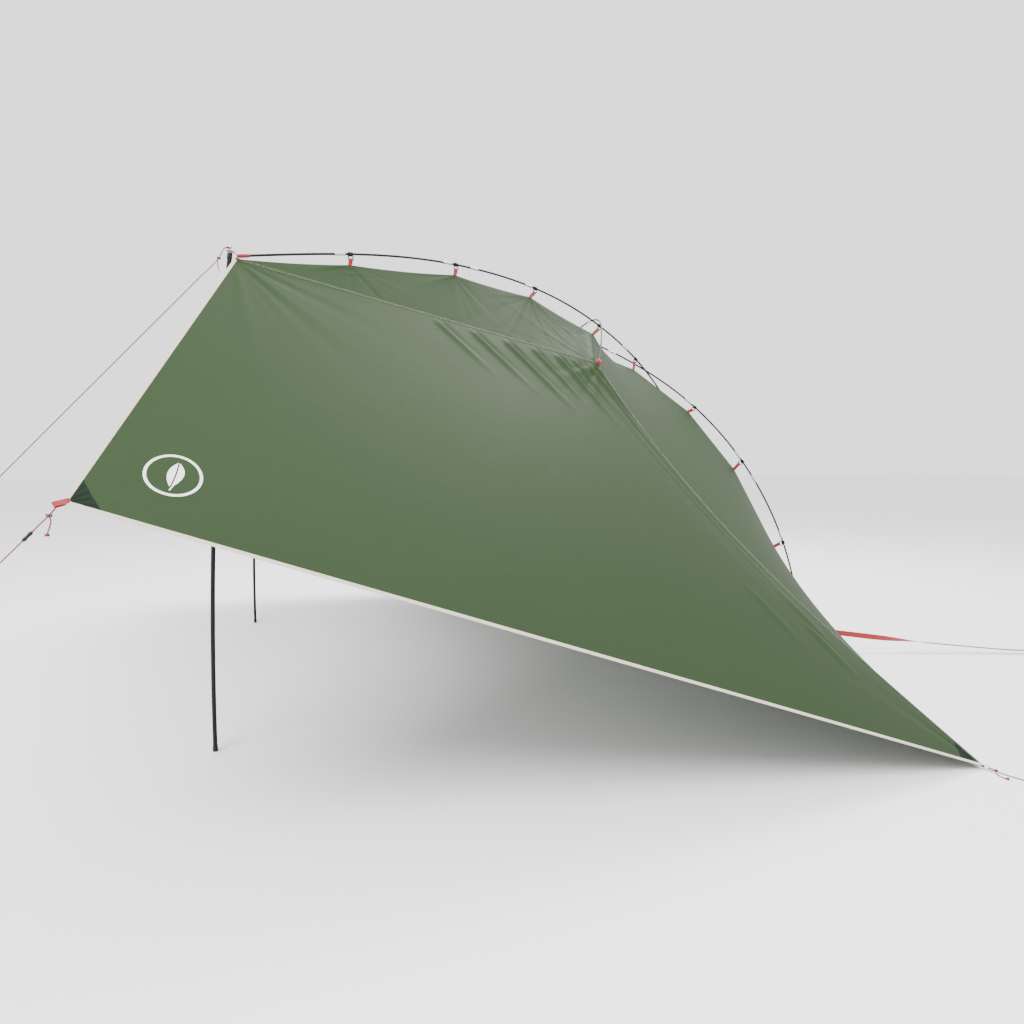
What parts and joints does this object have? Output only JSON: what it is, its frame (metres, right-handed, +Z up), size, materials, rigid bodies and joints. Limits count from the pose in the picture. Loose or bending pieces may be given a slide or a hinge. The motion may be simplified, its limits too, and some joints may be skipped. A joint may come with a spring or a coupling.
{
  "type": "tent on poles",
  "caption": "Open-fronted tarp shelter: a green canopy hung by clips under two crossing arch rods, on two front poles, with side wings that slope to the ground.",
  "frame": {"origin": "the middle of the shelter's box on the ground, without its guylines and pegs", "axes": "+Z up, -X to the open front, -Y to the side with the guylines"},
  "size_m": [6.4613, 5.2073, 2.2573],
  "materials": {
    "pole_steel": "satin black powder coat on steel tube",
    "zinc": "zinc-plated steel",
    "foot_rubber": "matt black rubber cap",
    "rod_fibreglass": "dark grey fibreglass rod",
    "canopy_fabric": "coated woven polyester, green",
    "edge_tape": "woven cream binding tape",
    "red_webbing": "woven red webbing",
    "clip_plastic": "moulded dark grey plastic",
    "red_cord": "braided red cord with dark flecks"
  },
  "bodies": {
    "root": {"near_upright_upper_tube": "pole_steel", "near_upright_spike": "zinc", "near_arch_section_1": "rod_fibreglass", "near_arch_section_2": "rod_fibreglass", "near_arch_section_3": "rod_fibreglass", "near_arch_section_4": "rod_fibreglass", "near_brow_rod": "rod_fibreglass", "near_brow_pocket": "red_webbing", "near_wing_panel": "canopy_fabric", "near_front_binding": "edge_tape", "near_lower_binding": "edge_tape", "near_front_tab": "red_webbing", "near_rear_tab": "red_webbing", "near_head_pocket": "red_webbing", "far_upright_upper_tube": "pole_steel", "far_upright_spike": "zinc", "far_arch_section_1": "rod_fibreglass", "far_arch_section_2": "rod_fibreglass", "far_arch_section_3": "rod_fibreglass", "far_arch_section_4": "rod_fibreglass", "far_brow_rod": "rod_fibreglass", "far_brow_pocket": "red_webbing", "far_wing_panel": "canopy_fabric", "far_front_binding": "edge_tape", "far_lower_binding": "edge_tape", "far_front_tab": "red_webbing", "far_rear_tab": "red_webbing", "far_head_pocket": "red_webbing", "roof_panel": "canopy_fabric", "rear_panel": "canopy_fabric", "pole_guyline": "red_cord", "corner_guyline": "red_cord", "rear_corner_line": "red_cord", "rear_webbing_guy": "red_webbing", "pole_guyline_peg": "zinc", "corner_guyline_peg": "zinc", "rear_corner_peg": "zinc", "rear_webbing_peg": "zinc"},
    "near_clip_1": {"near_clip_1": "clip_plastic"},
    "near_clip_2": {"near_clip_2": "clip_plastic"},
    "near_clip_3": {"near_clip_3": "clip_plastic"},
    "near_clip_4": {"near_clip_4": "clip_plastic"},
    "near_clip_5": {"near_clip_5": "clip_plastic"},
    "near_clip_6": {"near_clip_6": "clip_plastic"},
    "near_clip_7": {"near_clip_7": "clip_plastic"},
    "far_clip_1": {"far_clip_1": "clip_plastic"},
    "far_clip_2": {"far_clip_2": "clip_plastic"},
    "far_clip_3": {"far_clip_3": "clip_plastic"},
    "far_clip_4": {"far_clip_4": "clip_plastic"},
    "far_clip_5": {"far_clip_5": "clip_plastic"},
    "far_clip_6": {"far_clip_6": "clip_plastic"},
    "far_clip_7": {"far_clip_7": "clip_plastic"},
    "crossing_clip": {"crossing_clip": "clip_plastic"},
    "near_middle": {"near_upright_middle_tube": "pole_steel"},
    "near_lower": {"near_upright_lower_tube": "pole_steel", "near_upright_foot": "foot_rubber"},
    "far_middle": {"far_upright_middle_tube": "pole_steel"},
    "far_lower": {"far_upright_lower_tube": "pole_steel", "far_upright_foot": "foot_rubber"},
    "runner": {"line_runner": "clip_plastic"}
  },
  "joints": [
    {"name": "near_clip_1_swing", "type": "hinge", "parent": "root", "child": "near_clip_1", "pos_m": [-0.98692, -1.06701, 2.18467], "axis": [0.8668, 0.4705, 0.1654], "range_deg": [-12, 12]},
    {"name": "near_clip_2_swing", "type": "hinge", "parent": "root", "child": "near_clip_2", "pos_m": [-0.43188, -0.76576, 2.24803], "axis": [0.8787, 0.4769, 0.0227], "range_deg": [-12, 12]},
    {"name": "near_clip_3_swing", "type": "hinge", "parent": "root", "child": "near_clip_3", "pos_m": [0.08313, -0.48624, 2.21758], "axis": [0.8705, 0.4725, -0.1377], "range_deg": [-12, 12]},
    {"name": "near_clip_4_swing", "type": "hinge", "parent": "root", "child": "near_clip_4", "pos_m": [0.58623, -0.21318, 2.07605], "axis": [0.8258, 0.4482, -0.3422], "range_deg": [-12, 12]},
    {"name": "near_clip_5_swing", "type": "hinge", "parent": "root", "child": "near_clip_5", "pos_m": [1.28306, 0.16503, 1.58996], "axis": [0.6361, 0.3452, -0.6901], "range_deg": [-12, 12]},
    {"name": "near_clip_6_swing", "type": "hinge", "parent": "root", "child": "near_clip_6", "pos_m": [1.55312, 0.3116, 1.23003], "axis": [0.4968, 0.2696, -0.8249], "range_deg": [-12, 12]},
    {"name": "near_clip_7_swing", "type": "hinge", "parent": "root", "child": "near_clip_7", "pos_m": [1.78503, 0.43748, 0.70454], "axis": [0.2846, 0.1544, -0.9461], "range_deg": [-12, 12]},
    {"name": "far_clip_1_swing", "type": "hinge", "parent": "root", "child": "far_clip_1", "pos_m": [-0.98692, 1.06701, 2.18467], "axis": [0.8668, -0.4705, 0.1654], "range_deg": [-12, 12]},
    {"name": "far_clip_2_swing", "type": "hinge", "parent": "root", "child": "far_clip_2", "pos_m": [-0.43188, 0.76576, 2.24803], "axis": [0.8787, -0.4769, 0.0227], "range_deg": [-12, 12]},
    {"name": "far_clip_3_swing", "type": "hinge", "parent": "root", "child": "far_clip_3", "pos_m": [0.08313, 0.48624, 2.21758], "axis": [0.8705, -0.4725, -0.1377], "range_deg": [-12, 12]},
    {"name": "far_clip_4_swing", "type": "hinge", "parent": "root", "child": "far_clip_4", "pos_m": [0.58623, 0.21318, 2.07476], "axis": [0.8223, -0.4463, -0.353], "range_deg": [-12, 12]},
    {"name": "far_clip_5_swing", "type": "hinge", "parent": "root", "child": "far_clip_5", "pos_m": [1.28306, -0.16503, 1.58676], "axis": [0.6442, -0.3496, -0.6803], "range_deg": [-12, 12]},
    {"name": "far_clip_6_swing", "type": "hinge", "parent": "root", "child": "far_clip_6", "pos_m": [1.55312, -0.3116, 1.22993], "axis": [0.4971, -0.2698, -0.8247], "range_deg": [-12, 12]},
    {"name": "far_clip_7_swing", "type": "hinge", "parent": "root", "child": "far_clip_7", "pos_m": [1.78503, -0.43748, 0.70453], "axis": [0.2846, -0.1544, -0.9461], "range_deg": [-12, 12]},
    {"name": "crossing_clip_swing", "type": "hinge", "parent": "root", "child": "crossing_clip", "pos_m": [0.91503, -0.03472, 1.90553], "axis": [0.7635, 0.4144, -0.4953], "range_deg": [-12, 12]},
    {"name": "near_middle_pull", "type": "slide", "parent": "root", "child": "near_middle", "axis": [-0.0714, -0.0057, -0.9974], "range_m": [0, 0.06]},
    {"name": "near_lower_pull", "type": "slide", "parent": "near_middle", "child": "near_lower", "axis": [-0.0291, -0.0058, -0.9996], "range_m": [0, 0.06]},
    {"name": "far_middle_pull", "type": "slide", "parent": "root", "child": "far_middle", "axis": [-0.0714, 0.0057, -0.9974], "range_m": [0, 0.06]},
    {"name": "far_lower_pull", "type": "slide", "parent": "far_middle", "child": "far_lower", "axis": [-0.0291, 0.0058, -0.9996], "range_m": [0, 0.06]},
    {"name": "runner_slide", "type": "slide", "parent": "root", "child": "runner", "axis": [-0.6238, -0.3047, -0.7198], "range_m": [-0.03, 0.35]}
  ]
}
